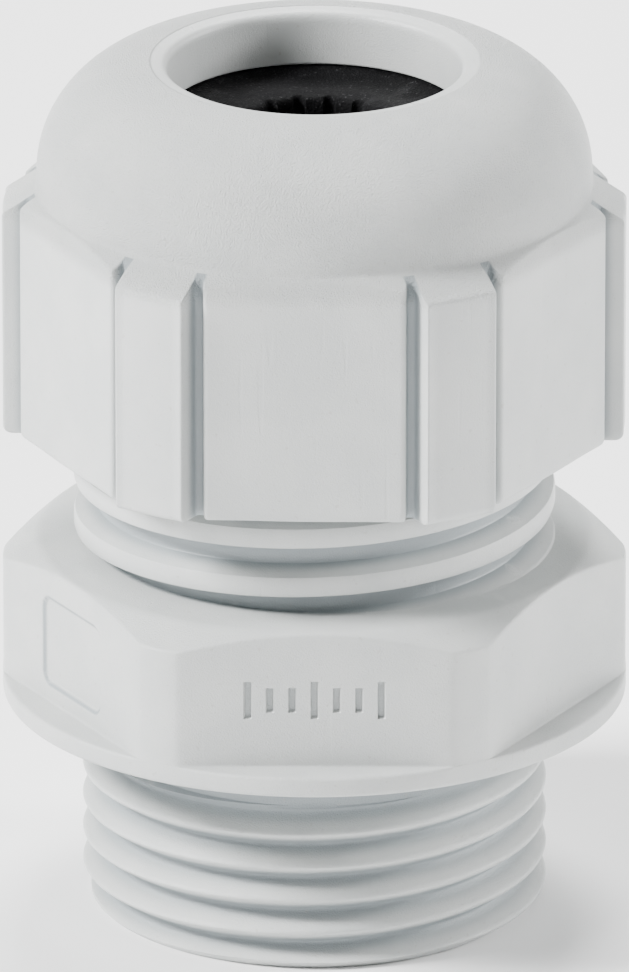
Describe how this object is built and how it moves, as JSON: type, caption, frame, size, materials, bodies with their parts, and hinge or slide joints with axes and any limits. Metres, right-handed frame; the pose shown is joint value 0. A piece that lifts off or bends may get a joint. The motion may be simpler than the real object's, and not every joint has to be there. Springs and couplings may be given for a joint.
{
  "type": "cable gland",
  "caption": "Moulded cable gland: threaded body with sealing flange and hexagon, rubber insert, clamping fingers and domed ribbed nut.",
  "frame": {"origin": "centre of the connection thread's end face, on the gland's axis", "axes": "+Z along the gland's axis towards the cap nut's opening; -Y faces the hexagon flat with the tick marks"},
  "size_m": [0.0268, 0.0268, 0.0377],
  "materials": {
    "grey_polyamide": "light grey moulded polyamide, satin, with a fine grain on the dome",
    "seal_rubber": "matt black rubber with a grainy face"
  },
  "bodies": {
    "gland_body": {"gland_body": "grey_polyamide"},
    "seal_insert": {"seal_insert": "seal_rubber"},
    "cap_nut": {"cap_nut": "grey_polyamide"},
    "lamella_01": {"lamella_01": "grey_polyamide"},
    "lamella_02": {"lamella_02": "grey_polyamide"},
    "lamella_03": {"lamella_03": "grey_polyamide"},
    "lamella_04": {"lamella_04": "grey_polyamide"},
    "lamella_05": {"lamella_05": "grey_polyamide"},
    "lamella_06": {"lamella_06": "grey_polyamide"},
    "lamella_07": {"lamella_07": "grey_polyamide"},
    "lamella_08": {"lamella_08": "grey_polyamide"},
    "lamella_09": {"lamella_09": "grey_polyamide"},
    "lamella_10": {"lamella_10": "grey_polyamide"},
    "lamella_11": {"lamella_11": "grey_polyamide"},
    "lamella_12": {"lamella_12": "grey_polyamide"}
  },
  "joints": [
    {"name": "seal_travel", "type": "slide", "parent": "gland_body", "child": "seal_insert", "axis": [0, 0, 1], "range_m": [-0.0022, 0.0044], "deforming": ["seal_insert"]},
    {"name": "nut_turn", "type": "hinge", "parent": "seal_insert", "child": "cap_nut", "pos_m": [0, 0, 0.02125], "axis": [0, 0, 1], "range_deg": [-360.5, 720.5]},
    {"name": "lamella_01_flex", "type": "hinge", "parent": "gland_body", "child": "lamella_01", "pos_m": [0.00847, 0, 0.0256], "axis": [0, 1, 0], "range_deg": [-4.55, 9.05]},
    {"name": "lamella_02_flex", "type": "hinge", "parent": "gland_body", "child": "lamella_02", "pos_m": [0.00734, 0.00424, 0.0256], "axis": [-0.5, 0.866, 0], "range_deg": [-4.55, 9.05]},
    {"name": "lamella_03_flex", "type": "hinge", "parent": "gland_body", "child": "lamella_03", "pos_m": [0.00424, 0.00734, 0.0256], "axis": [-0.866, 0.5, 0], "range_deg": [-4.55, 9.05]},
    {"name": "lamella_04_flex", "type": "hinge", "parent": "gland_body", "child": "lamella_04", "pos_m": [0, 0.00847, 0.0256], "axis": [-1, 0, 0], "range_deg": [-4.55, 9.05]},
    {"name": "lamella_05_flex", "type": "hinge", "parent": "gland_body", "child": "lamella_05", "pos_m": [-0.00424, 0.00734, 0.0256], "axis": [-0.866, -0.5, 0], "range_deg": [-4.55, 9.05]},
    {"name": "lamella_06_flex", "type": "hinge", "parent": "gland_body", "child": "lamella_06", "pos_m": [-0.00734, 0.00424, 0.0256], "axis": [-0.5, -0.866, 0], "range_deg": [-4.55, 9.05]},
    {"name": "lamella_07_flex", "type": "hinge", "parent": "gland_body", "child": "lamella_07", "pos_m": [-0.00847, 0, 0.0256], "axis": [0, -1, 0], "range_deg": [-4.55, 9.05]},
    {"name": "lamella_08_flex", "type": "hinge", "parent": "gland_body", "child": "lamella_08", "pos_m": [-0.00734, -0.00424, 0.0256], "axis": [0.5, -0.866, 0], "range_deg": [-4.55, 9.05]},
    {"name": "lamella_09_flex", "type": "hinge", "parent": "gland_body", "child": "lamella_09", "pos_m": [-0.00424, -0.00734, 0.0256], "axis": [0.866, -0.5, 0], "range_deg": [-4.55, 9.05]},
    {"name": "lamella_10_flex", "type": "hinge", "parent": "gland_body", "child": "lamella_10", "pos_m": [0, -0.00847, 0.0256], "axis": [1, 0, 0], "range_deg": [-4.55, 9.05]},
    {"name": "lamella_11_flex", "type": "hinge", "parent": "gland_body", "child": "lamella_11", "pos_m": [0.00424, -0.00734, 0.0256], "axis": [0.866, 0.5, 0], "range_deg": [-4.55, 9.05]},
    {"name": "lamella_12_flex", "type": "hinge", "parent": "gland_body", "child": "lamella_12", "pos_m": [0.00734, -0.00424, 0.0256], "axis": [0.5, 0.866, 0], "range_deg": [-4.55, 9.05]}
  ],
  "couplings": [
    {"joint": "nut_turn", "follows": "seal_travel", "rad_per_m": 2856},
    {"joint": "lamella_01_flex", "follows": "seal_travel", "rad_per_m": 35.7},
    {"joint": "lamella_02_flex", "follows": "seal_travel", "rad_per_m": 35.7},
    {"joint": "lamella_03_flex", "follows": "seal_travel", "rad_per_m": 35.7},
    {"joint": "lamella_04_flex", "follows": "seal_travel", "rad_per_m": 35.7},
    {"joint": "lamella_05_flex", "follows": "seal_travel", "rad_per_m": 35.7},
    {"joint": "lamella_06_flex", "follows": "seal_travel", "rad_per_m": 35.7},
    {"joint": "lamella_07_flex", "follows": "seal_travel", "rad_per_m": 35.7},
    {"joint": "lamella_08_flex", "follows": "seal_travel", "rad_per_m": 35.7},
    {"joint": "lamella_09_flex", "follows": "seal_travel", "rad_per_m": 35.7},
    {"joint": "lamella_10_flex", "follows": "seal_travel", "rad_per_m": 35.7},
    {"joint": "lamella_11_flex", "follows": "seal_travel", "rad_per_m": 35.7},
    {"joint": "lamella_12_flex", "follows": "seal_travel", "rad_per_m": 35.7}
  ]
}
